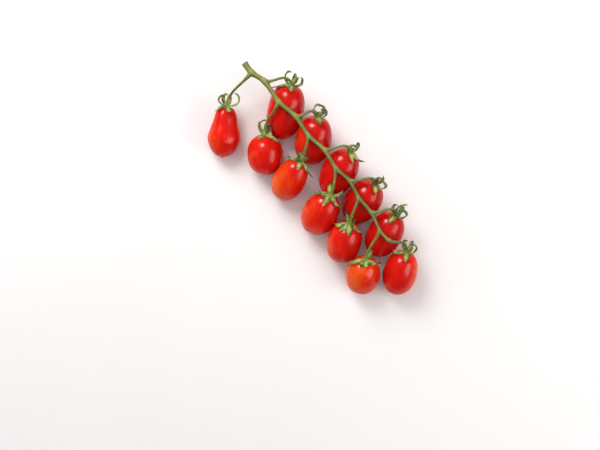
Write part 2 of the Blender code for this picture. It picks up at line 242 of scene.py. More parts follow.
def buildMottle():    # soft patches and small speckles of a grown surface
    group, given, result = startGroup("grownMottle", [
        ("Vector", "NodeSocketVector", None),
        ("Patch Scale", "NodeSocketFloat", 60.0),
        ("Speck Scale", "NodeSocketFloat", 900.0),
        ("Speck Size", "NodeSocketFloat", 0.25),
    ], [
        ("Patches", "NodeSocketFloat"), ("Specks", "NodeSocketFloat"), ("Grain", "NodeSocketFloat"),
    ])
    patches = put(group, "ShaderNodeTexNoise", {
        "Vector": given["Vector"], "Scale": given["Patch Scale"], "Detail": 4.0, "Roughness": 0.55})
    wire(group, result["Patches"], remap(group, patches.outputs["Fac"], 0.32, 0.68))
    specks = put(group, "ShaderNodeTexVoronoi", {
        "Vector": given["Vector"], "Scale": given["Speck Scale"], "Randomness": 1.0})
    near = calc(group, "LESS_THAN", specks.outputs["Distance"], given["Speck Size"])
    chosen = put(group, "ShaderNodeSeparateColor", {"Color": specks.outputs["Color"]})
    some = calc(group, "GREATER_THAN", chosen.outputs[0], 0.45)    # about half of the cells
    wire(group, result["Specks"], calc(group, "MULTIPLY", near, some))
    grain = put(group, "ShaderNodeTexNoise", {
        "Vector": given["Vector"], "Scale": given["Speck Scale"], "Detail": 3.0})
    wire(group, result["Grain"], grain.outputs["Fac"])
    return group


def buildFibre():    # fine lines that run the way the piece grew
    group, given, result = startGroup("growthFibre", [
        ("Flow", "NodeSocketVector", None),
        ("Lines", "NodeSocketFloat", 6.0),
        ("Stretch", "NodeSocketFloat", 0.4),
    ], [("Lines", "NodeSocketFloat"), ("Breaks", "NodeSocketFloat")])
    parts = put(group, "ShaderNodeSeparateXYZ", {"Vector": given["Flow"]})
    drawn = put(group, "ShaderNodeCombineXYZ", {
        "X": calc(group, "MULTIPLY", parts.outputs["X"], given["Lines"]),
        "Y": calc(group, "MULTIPLY", parts.outputs["Y"], given["Lines"]),
        "Z": calc(group, "MULTIPLY", parts.outputs["Z"], given["Stretch"]),
    })
    lines = put(group, "ShaderNodeTexNoise", {
        "Vector": drawn.outputs[0], "Scale": 1.0, "Detail": 5.0, "Roughness": 0.6})
    wire(group, result["Lines"], remap(group, lines.outputs["Fac"], 0.3, 0.7))
    breaks = put(group, "ShaderNodeTexNoise", {
        "Vector": drawn.outputs[0], "Scale": 3.1, "Detail": 2.0})
    wire(group, result["Breaks"], remap(group, breaks.outputs["Fac"], 0.52, 0.72))
    return group


mottle = buildMottle()
fibre = buildFibre()


def objectPlace(tree):
    return put(tree, "ShaderNodeTexCoord").outputs["Object"]


def useMottle(tree, vector, patchScale, speckScale, speckSize):
    node = put(tree, "ShaderNodeGroup", node_tree=mottle)
    wire(tree, node.inputs["Vector"], vector)
    node.inputs["Patch Scale"].default_value = patchScale
    node.inputs["Speck Scale"].default_value = speckScale
    node.inputs["Speck Size"].default_value = speckSize
    return node.outputs


def useFibre(tree, lines, stretch):
    node = put(tree, "ShaderNodeGroup", node_tree=fibre)
    wire(tree, node.inputs["Flow"], readAttribute(tree, "flow", "Vector"))
    node.inputs["Lines"].default_value = lines
    node.inputs["Stretch"].default_value = stretch
    return node.outputs


print("materials")

skinLook = {
    "deep": (0.45, 0.004, 0.003), "red": (0.72, 0.008, 0.003), "orange": (0.84, 0.095, 0.007),
    "shoulder": (0.84, 0.17, 0.015), "scar": (0.12, 0.045, 0.012), "speck": (0.90, 0.20, 0.03),
    "roughness": (0.19, 0.27), "coat": 0.05, "coatRoughness": 0.2, "shine": 0.17,
    "flesh": 0.08, "fleshReach": (1.0, 0.2, 0.08), "fleshDepth": 0.003,
}


def buildSkin():
    material, tree, shader = startMaterial("tomatoSkin")
    vector = objectPlace(tree)
    patches = useMottle(tree, vector, 70.0, 1100.0, 0.16)
    streaks = useFibre(tree, 5.0, 2.2)
    along = readAttribute(tree, "along")
    # ripeness, plus painted light on each fruit's lit side, drives the red to orange ramp
    ripeAndLitSide = readAttribute(tree, "ripeAndLitSide")
    ripeAndLitTone = calc(tree, "MULTIPLY", remap(tree, patches["Patches"], 0.0, 1.0, 0.45, 1.0), ripeAndLitSide)
    striped = calc(tree, "MULTIPLY", streaks["Lines"], 0.14)
    color = rampOf(tree, calc(tree, "ADD", ripeAndLitTone, striped, clamp=True), [
        (0.0, skinLook["deep"]), (0.35, skinLook["red"]), (1.0, skinLook["orange"])])
    shoulder = remap(tree, along, 0.16, 0.0)
    shoulder = calc(tree, "MULTIPLY", shoulder, streaks["Lines"])
    color = tint(tree, color, shoulder, 0.6, skinLook["shoulder"])
    color = tint(tree, color, patches["Specks"], 0.22, skinLook["speck"])
    scar = remap(tree, along, 0.968, 0.984)    # the dry dot at the blossom end
    color = blend(tree, scar, color, skinLook["scar"])
    wire(tree, shader.inputs["Base Color"], color)
    setGloss(tree, shader, patches["Grain"], skinLook, calc(tree, "MULTIPLY", scar, 0.5))
    height = calc(tree, "ADD", calc(tree, "MULTIPLY", streaks["Lines"], 0.5),
                  calc(tree, "MULTIPLY", patches["Grain"], 0.12))
    setRelief(tree, shader, height, 0.06, 0.0002)
    shader.inputs["Specular IOR Level"].default_value = skinLook["shine"]
    shader.inputs["Coat Weight"].default_value = skinLook["coat"]
    shader.inputs["Coat Roughness"].default_value = skinLook["coatRoughness"]
    shader.inputs["Subsurface Weight"].default_value = skinLook["flesh"]
    shader.inputs["Subsurface Radius"].default_value = skinLook["fleshReach"]
    shader.inputs["Subsurface Scale"].default_value = skinLook["fleshDepth"]
    return material


barkLook = {
    "green": (0.150, 0.225, 0.013), "dark": (0.042, 0.066, 0.007), "pale": (0.36, 0.41, 0.070),
    "olive": (0.24, 0.235, 0.030), "cork": (0.17, 0.11, 0.035), "pith": (0.46, 0.44, 0.20),
    "node": (0.42, 0.42, 0.085),
    "roughness": (0.42, 0.62), "fuzz": 0.08,
}


def buildBark():
    material, tree, shader = startMaterial("stemGreen")
    vector = objectPlace(tree)
    patches = useMottle(tree, vector, 230.0, 1500.0, 0.3)
    lines = useFibre(tree, 3.0, 0.7)
    age = readAttribute(tree, "age")
    swollen = readAttribute(tree, "swollen")
    cut = readAttribute(tree, "cut")
    paintedShade = readAttribute(tree, "paintedShade")
    color = rampOf(tree, lines["Lines"], [
        (0.0, barkLook["dark"]), (0.5, barkLook["green"]), (1.0, barkLook["pale"])])
    color = tint(tree, color, patches["Patches"], 0.45, barkLook["dark"])
    color = tint(tree, color, age, 0.6, barkLook["olive"])
    color = tint(tree, color, swollen, 0.7, barkLook["node"])
    # painted shade on the stem's side away from the light and in its axils
    color = tint(tree, color, paintedShade, 0.9, barkLook["dark"])
    color = tint(tree, color, lines["Breaks"], 0.4, barkLook["cork"])
    color = tint(tree, color, patches["Specks"], 0.3, barkLook["dark"])
    color = blend(tree, cut, color, barkLook["pith"])
    wire(tree, shader.inputs["Base Color"], color)
    setGloss(tree, shader, patches["Grain"], barkLook)
    height = calc(tree, "ADD", lines["Lines"], calc(tree, "MULTIPLY", patches["Grain"], 0.5))
    setRelief(tree, shader, height, 0.5, 0.0002)
    shader.inputs["Sheen Weight"].default_value = barkLook["fuzz"]
    shader.inputs["Sheen Roughness"].default_value = 0.4
    return material


leafLook = {
    "green": (0.215, 0.310, 0.026), "dark": (0.040, 0.064, 0.007), "light": (0.52, 0.60, 0.10),
    "rib": (0.46, 0.54, 0.16), "brown": (0.085, 0.052, 0.016), "black": (0.016, 0.012, 0.006),
    # "edge" is how strongly painted shade darkens the sepal edges
    "stalk": (0.17, 0.23, 0.020), "roughness": (0.45, 0.7), "fuzz": 0.10, "edge": 0.6,
}


def buildLeaf():
    material, tree, shader = startMaterial("calyxGreen")
    vector = objectPlace(tree)
    patches = useMottle(tree, vector, 260.0, 1600.0, 0.3)
    veins = useFibre(tree, 2.6, 0.8)
    along = readAttribute(tree, "along")
    across = readAttribute(tree, "across")
    wither = readAttribute(tree, "wither")
    leaf = readAttribute(tree, "leaf")
    outer = readAttribute(tree, "outer")
    color = rampOf(tree, patches["Patches"], [
        (0.0, leafLook["dark"]), (0.40, leafLook["green"]), (1.0, leafLook["light"])])
    color = tint(tree, color, patches["Specks"], 0.35, leafLook["dark"])
    color = tint(tree, color, veins["Lines"], 0.35, leafLook["dark"])
    offCentre = calc(tree, "ABSOLUTE", across)
    # painted shade: the drooping edges of each sepal are darkened
    color = tint(tree, color, remap(tree, offCentre, 0.45, 0.95), leafLook["edge"],
                 leafLook["dark"])
    rib = remap(tree, offCentre, 0.30, 0.08)
    rib = calc(tree, "MULTIPLY", rib, remap(tree, along, 0.95, 0.5))
    color = tint(tree, color, rib, 0.65, leafLook["rib"])
    # painted shade: the underside of each sepal, facing the fruit, is darkened
    color = tint(tree, color, remap(tree, outer, 0.1, -0.3), 0.65, leafLook["dark"])
    notLeaf = calc(tree, "SUBTRACT", 1.0, leaf, clamp=True)
    color = tint(tree, color, notLeaf, 0.8, leafLook["stalk"])
    drying = put(tree, "ShaderNodeMath", {0: patches["Patches"], 1: 0.35, 2: -0.17},
                 operation="MULTIPLY_ADD").outputs[0]
    drying = calc(tree, "ADD", drying, calc(tree, "MULTIPLY", along, 0.75))
    drying = calc(tree, "ADD", drying, calc(tree, "MULTIPLY", offCentre, 0.12))
    drying = calc(tree, "ADD", drying, wither)
    color = tint(tree, color, remap(tree, drying, 0.85, 1.12), leaf, leafLook["brown"])
    color = tint(tree, color, remap(tree, drying, 1.15, 1.6), leaf, leafLook["black"])
    wire(tree, shader.inputs["Base Color"], color)
    setGloss(tree, shader, patches["Grain"], leafLook)
    height = calc(tree, "ADD", patches["Grain"], calc(tree, "MULTIPLY", rib, 1.5))
    height = calc(tree, "ADD", height, calc(tree, "MULTIPLY", veins["Lines"], 0.8))
    setRelief(tree, shader, height, 0.7, 0.00018)
    shader.inputs["Sheen Weight"].default_value = leafLook["fuzz"]
    shader.inputs["Sheen Roughness"].default_value = 0.4
    return material


tomatoSkin = buildSkin()
stemGreen = buildBark()
calyxGreen = buildLeaf()


print("tomatoes")

fruitLook = {
    "segments": 72, "rings": 54,
    "stemDip": 0.0008, "dipWidth": 0.0030,    # the hollow that the calyx sits in
    "nib": 0.0008, "nibWidth": 0.0014,        # the point at the blossom end
    "lobes": 0.00026, "lumps": 0.00026, "lumpScale": 110.0,
    "lobed": {1: 2.2, 2: 1.7},                # fruits with plainer lobes
    "girth": {1: 1.06, 3: 1.05},              # and with a fuller belly
    "nibs": {5: 0.0018},
    "paintedLightSide": (-0.62, -0.76, 0.2),             # painted light: the side painted lighter and more orange, as the lamp lights it; a negative share below paints the far side
    # how much painted light each fruit's lit side gets
    "paintedLightShares": [0.50, 0.45, 0.50, 0.40, 0.50, 0.25, 0.60, 0.05, 0.50, 0.05, 0.25, -0.65],
    "rest": 0.0005,                           # height over which the underside flattens
    # each fruit's own ripeness; the painted light of its lit side is added on top of it
    "ripeAndLitSide": [0.25, 0.10, 0.15, 0.08, 0.40, 0.08, 0.25, 0.05, 0.18, 0.10, 0.80, 0.22],
}
packedDip = 0.0008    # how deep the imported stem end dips, and how far its tip stands out
restTop = 0.0006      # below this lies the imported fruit's flat underside
poleFloor = 0.001     # both poles stand higher than this
poleSpokes = 11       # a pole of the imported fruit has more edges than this
ringStep = 0.0004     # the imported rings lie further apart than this


def ringMean(ring):    # mean height and radius of one ring
    return middleOf([Vector((*item, 0.0)) for item in ring]).xy


def readFruit(number):    # axes, ends and outline of a packed tomato
    bm = mergedCopy(f"tomato_{number:02d}")
    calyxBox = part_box(f"calyx_{number:02d}")
    calyxMiddle = (calyxBox[0] + calyxBox[1]) * 0.5
    poles = [vert.co.copy() for vert in bm.verts
             if len(vert.link_edges) > poleSpokes and vert.co.z > poleFloor]
    poles.sort(key=lambda pole: (pole - calyxMiddle).length)
    stemEnd, tip = poles
    out = (stemEnd - tip).normalized()
    side = out.cross(up).normalized()
    centre = (stemEnd + tip) * 0.5 + out * packedDip
    half = (stemEnd - tip).length * 0.5
    measured = []
    for vert in bm.verts:
        if vert.co.z > restTop:
            height = (vert.co - centre).dot(out)
            measured.append((height, (vert.co - centre - out * height).length))
    measured.sort()
    outline = [Vector((-half, 0.0))]    # height and radius of each ring, from the tip up
    ring = []
    for height, radius in measured[1:-1]:
        if ring and height - ring[0][0] > ringStep:
            outline.append(ringMean(ring))
            ring = []
        ring.append((height, radius))
    outline.append(ringMean(ring))
    outline.append(Vector((half, 0.0)))
    surface = BVHTree.FromBMesh(bm)
    bm.free()
    return {"sky": side.cross(out), "side": side, "out": out, "centre": centre,
            "seat": centre + out * half, "outline": outline, "packed": surface}


def outlineAt(outline, share):    # like smoothAt, but mirrored at the poles
    mirrored = [Vector((outline[1].x, -outline[1].y)), *outline,
                Vector((outline[-2].x, -outline[-2].y))]
    inner = 1.0 / (len(mirrored) - 1)
    return smoothAt(mirrored, inner + share * (1.0 - 2.0 * inner))


def buildFruit(number, fruit):
    dice = random.Random(40 + number)
    turns = [dice.uniform(0.0, math.tau) for _ in range(3)]
    seed = Vector((number * 3.7, number * 1.3, 0.0))
    paintedLightShare = fruitLook["paintedLightShares"][number - 1]
    lobed = fruitLook["lobed"].get(number, 1.0) * fruitLook["lobes"]
    girth = fruitLook["girth"].get(number, 1.0) - 1.0
    nib = fruitLook["nibs"].get(number, fruitLook["nib"])
    bm = bmesh.new()
    along = bm.verts.layers.float.new("along")
    ripeAndLitSide = bm.verts.layers.float.new("ripeAndLitSide")
    flow = bm.verts.layers.float_vector.new("flow")
    bmesh.ops.create_uvsphere(
        bm, u_segments=fruitLook["segments"], v_segments=fruitLook["rings"], radius=1.0)
    for vert in bm.verts:
        turn = math.atan2(vert.co.y, vert.co.x)
        share = math.acos(min(max(-vert.co.z, -1.0), 1.0)) / math.pi    # 0 at the tip
        height, radius = outlineAt(fruit["outline"], share)
        radius = max(radius, 0.0)
        middle = math.sin(math.pi * share)
        lobes = math.cos(2.0 * turn + turns[0]) * 0.6 + math.cos(3.0 * turn + turns[1]) * 0.5
        lobes += math.cos(5.0 * turn + turns[2]) * 0.35 * softStep(0.6, 0.95, share)
        radius += lobes * lobed * middle + radius * girth * middle ** 2
        if share > 0.5:
            height -= fruitLook["stemDip"] * math.exp(-(radius / fruitLook["dipWidth"]) ** 2)
        else:
            height -= nib * math.exp(-(radius / fruitLook["nibWidth"]) ** 2)
        spoke = fruit["sky"] * math.cos(turn) + fruit["side"] * math.sin(turn)
        spot = fruit["centre"] + spoke * radius + fruit["out"] * height
        outward = (spot - fruit["centre"]).normalized()
        lump = noise.noise((spot - fruit["centre"]) * fruitLook["lumpScale"] + seed)
        spot += outward * lump * fruitLook["lumps"] * middle
        rest = fruitLook["rest"]
        if spot.z < rest:
            spot.z = rest * math.exp((spot.z - rest) / rest)
        vert.co = spot
        vert[along] = 1.0 - share
        # painted light: the side facing the lamp is painted lighter and more orange, on top of the
        # fruit's own ripeness
        facing = outward.dot(Vector(fruitLook["paintedLightSide"]).normalized()) * math.copysign(1.0, paintedLightShare)
        vert[ripeAndLitSide] = fruitLook["ripeAndLitSide"][number - 1] + abs(paintedLightShare) * softStep(-0.15, 0.95, facing)
        vert[flow] = (math.cos(turn), math.sin(turn), share + number)
    bm.normal_update()
    fruit["surface"] = BVHTree.FromBMesh(bm)
    piece = addPiece(f"tomato{number:02d}", bm, tomatoSkin)
    finishPiece(piece, f"tomato_{number:02d}")


fruits = {number: readFruit(number) for number in range(1, 13)}
for number, fruit in fruits.items():
    buildFruit(number, fruit)


print("main stem and stalks")

stemLook = {
    "length": 0.1575, "cutWidth": 0.0040, "tipWidth": 0.0020, "stalkWidth": 0.0020,
    "knuckleWidth": 0.0028, "knuckleReach": 0.0040, "swelling": 0.28, "collar": 1.8,
    "taper": 0.65, "flare": 0.16, "flareReach": 0.02, "stalkPoints": 22, "stalkGap": 0.0002,
    "step": 0.0008, "voxel": 0.00025, "melt": 9, "ridges": 0.00012,
    "lightSide": (-0.75, -0.07, 0.66),
    "nodeReach": 0.0024, "paleReach": 0.0028, "axilReach": 0.0026, "axilSize": 0.0013,
    "lumps": 0.00006, "lumpScale": 420.0, "sides": 20,
    "cutSlice": 0.0015, "cutBack": 0.0004, "rimWidth": 0.0003, "pithDepth": 0.0002,
    "ringReach": 0.00042,    # the knuckle's two halves lie closer together than this
    "nodes": [    # share of the length, sideways sway and bearing of the stalk there
        (0.055, -0.0004, -79), (0.121, 0.0027, 43), (0.230, 0.0014, -62), (0.326, 0.0040, 50),
        (0.430, 0.0025, -62), (0.517, 0.0047, 42), (0.614, 0.0029, -50), (0.693, 0.0047, 40),
        (0.776, 0.0022, -57), (0.862, 0.0023, 45), (0.948, -0.0010, -68), (1.000, -0.0006, 17),
    ],
}


def ringNear(name, other):    # middle of the end ring of one node, where it meets the other
    surface = BVHTree.FromBMesh(mergedCopy(other))
    bm = mergedCopy(name)
    reach = stemLook["ringReach"]
    return middleOf([vert.co for vert in bm.verts if surface.find_nearest(vert.co)[3] < reach])


def stemWidth(share):
    flare = stemLook["flare"] * math.exp(-share / stemLook["flareReach"])
    thin, thick = stemLook["tipWidth"], stemLook["cutWidth"]
    return 0.5 * (thick + (thin - thick) * share ** stemLook["taper"]) * (1.0 + flare)


def cutMiddle():
    bm = mergedCopy("main_stem")
    spots = [vert.co.copy() for vert in bm.verts]
    lowest = min(spot.x for spot in spots)
    return middleOf([spot for spot in spots if spot.x < lowest + stemLook["cutSlice"]])


def pathThrough(points, step):
    path = [points[0]]
    for index in range(len(points) - 1):
        start, end = points[index], points[index + 1]
        before = points[max(index - 1, 0)]
        after = points[min(index + 2, len(points) - 1)]
        count = max(2, round((end - start).length / step))
        path += interpolate_bezier(start, start + (end - before) / 9.0,
                                   end - (after - start) / 9.0, end, count + 1)[1:]
    return path


def keepOff(point, margin):    # pushes a point out of the tomatoes
    for fruit in fruits.values():
        near, normal, _, gap = fruit["surface"].find_nearest(point)
        if gap < margin or (point - near).dot(normal) < 0.0:
            point = near + normal * margin
    return point


def stalkCourse(root, bearing, fruit):
    arrive, knuckle = fruit["arrive"], fruit["stemKnuckle"]
    reach = (knuckle - root).length
    angle = math.radians(bearing)
    leave = Vector((math.cos(angle), math.sin(angle), -0.1))
    neck = knuckle + arrive * stemLook["knuckleReach"] * 0.3
    course = interpolate_bezier(root, root + leave * reach * 0.35,
                                neck + arrive * reach * 0.25, neck, stemLook["stalkPoints"])
    course += [neck + (knuckle - neck) * share for share in (0.35, 0.7, 1.0)]
    thin = 0.5 * stemLook["stalkWidth"]
    thick = 0.5 * stemLook["knuckleWidth"]
    radii = []
    for index in range(len(course)):
        share = index / (len(course) - 1)
        collar = (stemLook["collar"] - 1.0) * math.exp(-(share / 0.16) ** 2)
        radii.append(thin * (1.0 + collar) + (thick - thin) * softStep(0.84, 0.97, share))
    radii[-1] = thick * 0.86
    for index in range(1, len(course) - 3):
        course[index] = keepOff(course[index], radii[index] + stemLook["stalkGap"])
    return course, radii


def nearness(point, spots, reach):    # 1 on a spot, falling to 0 past its reach
    return max(math.exp(-((point - spot).length / reach) ** 2) for spot in spots)


def growStem():
    start = cutMiddle()
    places = [start]
    for share, sway, _ in stemLook["nodes"]:
        places.append(start + Vector((share * stemLook["length"], sway, 0.0)))
    path = pathThrough(places, stemLook["step"])
    radii = []
    for point in path:
        swelling = nearness(point, places[1:], stemLook["nodeReach"])
        share = max(point.x - start.x, 0.0) / stemLook["length"]
        radii.append(stemWidth(share) * (1.0 + stemLook["swelling"] * swelling))
    courses = [(path, radii, 1.0)]
    for spot, (_, _, bearing), fruit in zip(places[1:], stemLook["nodes"], fruits.values()):
        courses.append((*stalkCourse(spot, bearing, fruit), 0.0))
    bm = bmesh.new()
    for course, widths, _ in courses:
        joinShell(bm, tubeSkin(course, widths, stemLook["sides"]))
    piece = addPiece("mainStem", bm, stemGreen)
    melt = piece.modifiers.new("melt", "REMESH")
    melt.mode = "VOXEL"
    melt.voxel_size = stemLook["voxel"]
    melt.adaptivity = 0.0
    graph = bpy.context.evaluated_depsgraph_get()
    melted = bpy.data.meshes.new_from_object(piece.evaluated_get(graph), depsgraph=graph)
    bpy.data.objects.remove(piece)
    bm = bmesh.new()
    bm.from_mesh(melted)
    for _ in range(stemLook["melt"]):
        bmesh.ops.smooth_vert(bm, verts=bm.verts, factor=0.5,
                              use_axis_x=True, use_axis_y=True, use_axis_z=True)
    bm.normal_update()
    markStem(bm, courses, places)
    trimCut(bm, start, (path[1] - path[0]).normalized())
    return addPiece("mainStem", bm, stemGreen)


def markStem(bm, courses, places):    # ridges, and what the stem's material reads
    flow = bm.verts.layers.float_vector.new("flow")
    age = bm.verts.layers.float.new("age")
    swollen = bm.verts.layers.float.new("swollen")
    paintedShade = bm.verts.layers.float.new("paintedShade")    # painted shade: the side turned away from the key light, and the axils
    bm.verts.layers.float.new("cut")
    spots = []
    for course, _, main in courses:
        run = 0.0
        for index, (point, (_, across, through)) in enumerate(zip(course, framesAlong(course))):
            run += (point - course[max(index - 1, 0)]).length
            spots.append((point, across, through, run, main))
    tree = KDTree(len(spots))
    for index, spot in enumerate(spots):
        tree.insert(spot[0], index)
    tree.balance()
    start = places[0]
    axils = []
    for spot, (course, _, _) in zip(places[1:], courses[1:]):
        leave = (course[3] - spot).normalized()
        axils.append(spot + (leave + Vector((0.8, 0.0, 0.0))).normalized() * stemLook["axilReach"])
    for vert in bm.verts:
        point, across, through, run, main = spots[tree.find(vert.co)[1]]
        offset = vert.co - point
        turn = math.atan2(offset.dot(through), offset.dot(across))
        wave = math.sin(turn * (6 if main else 4) + run * 90.0)
        wave += 0.7 * math.sin(turn * 9.0 - run * 60.0)
        lump = noise.noise(vert.co * stemLook["lumpScale"])
        shift = 0.0 if main else point.x * 900.0    # gives each stalk a pattern of its own
        vert[flow] = (math.cos(turn), math.sin(turn), run * 60.0 + shift)
        old = softStep(0.75, 0.0, (vert.co.x - start.x) / stemLook["length"])
        vert[age] = old * (1.0 if main else 0.7)
        near = nearness(vert.co, places[1:], stemLook["paleReach"])
        vert[swollen] = near * (0.35 + 0.65 * vert[age])
        # painted shade: the axils are darkened, and so is the side turned away from the key light
        axilShade = nearness(vert.co, axils, stemLook["axilSize"])
        shade = softStep(0.72, 0.0, vert.normal.dot(Vector(stemLook["lightSide"])))
        vert[paintedShade] = max(shade, axilShade)
        vert.co += vert.normal * (stemLook["ridges"] * wave * 0.5 + stemLook["lumps"] * lump)


def trimCut(bm, start, direction):    # the clean cut, its skin standing a little over the pith
    plane = start + direction * stemLook["cutBack"]
    cutLayer = bm.verts.layers.float["cut"]
    done = bmesh.ops.bisect_plane(
        bm, geom=bm.verts[:] + bm.edges[:] + bm.faces[:], dist=1e-7,
        plane_co=plane, plane_no=-direction, clear_outer=True)
    edges = [item for item in done["geom_cut"] if isinstance(item, bmesh.types.BMEdge)]
    made = bmesh.ops.contextual_create(bm, geom=edges)["faces"]
    bmesh.ops.recalc_face_normals(bm, faces=bm.faces)
    rim, pith = stemLook["rimWidth"], stemLook["pithDepth"]
    bmesh.ops.inset_region(bm, faces=made, thickness=rim, depth=0.0, use_even_offset=False)
    bmesh.ops.inset_region(bm, faces=made, thickness=pith, depth=-pith, use_even_offset=False)
    for face in made:
        for vert in face.verts:
            vert[cutLayer] = 1.0
            for edge in vert.link_edges:
                edge.other_vert(vert)[cutLayer] = max(edge.other_vert(vert)[cutLayer], 0.8)


for number, fruit in fruits.items():
    fruit["knuckle"] = ringNear(f"calyx_{number:02d}", "main_stem")
    fruit["stemKnuckle"] = ringNear("main_stem", f"calyx_{number:02d}")
    fruit["arrive"] = (fruit["stemKnuckle"] - fruit["knuckle"]).normalized()
mainStem = growStem()
finishPiece(mainStem, "main_stem")


print("calyxes")

calyxLook = {
    "sepalLength": 0.0120, "packedThickness": 0.0009, "packedRings": 8,
    "touchGap": 0.0003, "sepalWidth": 0.0040, "sepalThickness": 0.00055,
    "receptacleHeight": 0.0018, "receptacleWidth": 0.0050, "bendHeight": 0.0033,
    "stalkWidth": 0.0020, "knuckleWidth": 0.0028, "knuckleReach": 0.0040,
    "rows": 28, "columns": 14, "stalkRows": 30, "stalkSides": 18,
    "tipLift": 0.0020, "cup": 0.46, "rib": 0.00016, "wave": 0.00016, "drape": 0.00012,
    "curled": 100,    # a sepal that curls more than this is thicker, broader and twisted
    "lengthTries": (1.0, 0.85, 0.7, 0.55, 0.4), "settled": 0.00006,
    "liftTries": (0, 8, -8, 16, -16, 24, 32, 40, 50),
    # bearing round the fruit's axis (0 faces the sky), length, lift, curl, swirl, width and
    # how dry the sepal is
    "sepals": [
        [(-52, 0.85, -50, 30, 0, 0.95, 0.0), (22, 0.80, -60, 30, 0, 1.0, 0.05),
         (82, 1.30, 0, 170, 10, 0.60, 0.1), (-96, 1.00, -5, 210, 0, 0.65, 0.45),
         (-150, 1.15, 20, 220, 20, 0.55, 0.15), (160, 0.80, 15, 120, 0, 0.6, 0.1)],
        [(-112, 1.10, 20, 150, 10, 0.65, 0.1), (42, 0.85, 55, 15, 0, 0.6, 0.1),
         (8, 0.80, -60, 30, 0, 1.0, 0.0), (92, 0.95, -10, 150, 30, 0.7, 0.25),
         (-72, 1.15, -30, 10, -20, 0.9, 0.1), (165, 0.80, 20, 110, 0, 0.65, 0.1)],
        [(-82, 1.35, 35, 190, 25, 0.55, 0.1), (-135, 0.80, 40, 60, 0, 0.7, 0.1),
         (84, 0.80, 10, 70, 0, 0.9, 0.75), (48, 1.05, -50, 15, 25, 0.9, 0.0),
         (-35, 0.75, -55, 20, 0, 0.95, 0.0), (150, 0.90, 20, 140, 0, 0.6, 0.5)],
        [(-120, 1.20, 30, 190, 30, 0.55, 0.1), (-40, 1.10, 20, 230, 10, 0.65, 0.1),
         (78, 0.95, 5, 200, 0, 0.7, 0.5), (18, 0.75, -55, 30, 0, 1.0, 0.05),
         (140, 1.00, 25, 170, -20, 0.6, 0.2)],
        [(-12, 0.80, 20, 170, 0, 0.9, 0.0), (-80, 0.75, -30, 40, 0, 0.9, 0.35),
         (12, 0.75, -60, 10, 0, 1.0, 0.0), (70, 1.15, -35, 20, 15, 0.85, 0.4),
         (-140, 0.70, 25, 120, 0, 0.7, 0.2), (140, 0.70, 25, 120, 0, 0.7, 0.5)],
        [(-70, 1.00, 25, 230, 0, 0.65, 0.1), (-10, 0.95, 15, 210, 20, 0.7, 0.1),
         (74, 1.00, -25, 60, 0, 0.8, 0.4), (35, 0.80, -50, 40, 0, 0.95, 0.0),
         (150, 0.90, 20, 150, 0, 0.6, 0.3)],
        [(-50, 0.85, -5, 60, -10, 1.0, 0.0), (-85, 0.95, -45, 30, 0, 1.0, 0.0),
         (-8, 0.95, -62, 15, 0, 1.05, 0.0), (62, 0.95, -40, 70, 0, 1.0, 0.05),
         (120, 0.80, 0, 100, 0, 0.8, 0.1), (-150, 0.70, 20, 120, 0, 0.7, 0.2)],
        [(-60, 1.10, 30, 240, 10, 0.6, 0.1), (-5, 0.75, 40, 60, 0, 0.8, 0.6),
         (76, 1.10, -25, 230, 15, 0.65, 0.15), (30, 0.80, -50, 30, 0, 1.0, 0.0),
         (150, 0.80, 20, 130, 0, 0.65, 0.2)],
        [(-66, 0.90, -30, 60, 0, 1.0, 0.0), (-34, 0.80, -50, 35, 0, 1.0, 0.0),
         (6, 0.95, -60, 15, 0, 1.05, 0.0), (66, 0.90, -35, 50, 0, 0.95, 0.05),
         (30, 0.85, 50, 25, 0, 0.55, 0.1), (-140, 0.80, 30, 60, 0, 0.7, 0.55)],
        [(-58, 1.15, 45, 100, 0, 0.5, 0.15), (12, 0.80, 15, 160, 0, 0.8, 0.1),
         (82, 1.15, -15, 240, 10, 0.65, 0.2), (-12, 0.80, -55, 30, 0, 1.0, 0.0),
         (-120, 0.80, 20, 150, 0, 0.65, 0.15), (150, 0.80, 20, 150, 0, 0.65, 0.2)],
        [(-74, 1.10, -30, 40, 0, 1.0, 0.05), (-30, 0.75, -30, 90, 0, 0.9, 0.55),
         (6, 0.80, -60, 15, 0, 1.05, 0.0), (68, 1.05, -30, 110, 0, 0.9, 0.05),
         (150, 0.80, 20, 120, 0, 0.7, 0.2)],
        [(84, 1.25, 0, 240, 10, 0.55, 0.1), (28, 0.85, 45, 60, 0, 0.65, 0.05),
         (-70, 0.85, -35, 80, 0, 0.9, 0.05), (4, 0.85, -58, 20, 0, 1.0, 0.0),
         (-140, 0.90, 20, 150, 0, 0.6, 0.2), (150, 0.80, 20, 120, 0, 0.65, 0.2)],
    ],
}


def packedCourse(fruit, sepal, order):    # middle line and side direction of a packed sepal
    bearing, length, lift, curl, swirl = sepal
    count = calyxLook["packedRings"]
    step = calyxLook["sepalLength"] * length / (count - 1)
    spot = fruit["seat"] + fruit["out"] * calyxLook["receptacleHeight"] * (0.34 + 0.04 * order)
    course = []
    for index in range(count):
        share = index / (count - 1)
        around = math.radians(bearing + swirl * share)
        slope = math.radians(lift + curl * share ** 1.5)
        spoke = fruit["sky"] * math.cos(around) + fruit["side"] * math.sin(around)
        tangent = spoke * math.cos(slope) + fruit["out"] * math.sin(slope)
        halfDepth = 0.5 * calyxLook["packedThickness"] * (1.0 - 0.6 * share)
        if index == 0:
            spot = spot + spoke * 0.25 * calyxLook["receptacleWidth"]
        else:
            spot = spot + tangent * step
            near, normal, _, gap = fruit["packed"].find_nearest(spot)
            margin = calyxLook["touchGap"] * 1.3 + halfDepth
            if gap < margin or (spot - near).dot(normal) < 0.0:
                spot = near + normal * margin
        course.append((spot, spoke.cross(fruit["out"]), halfDepth))
    return course


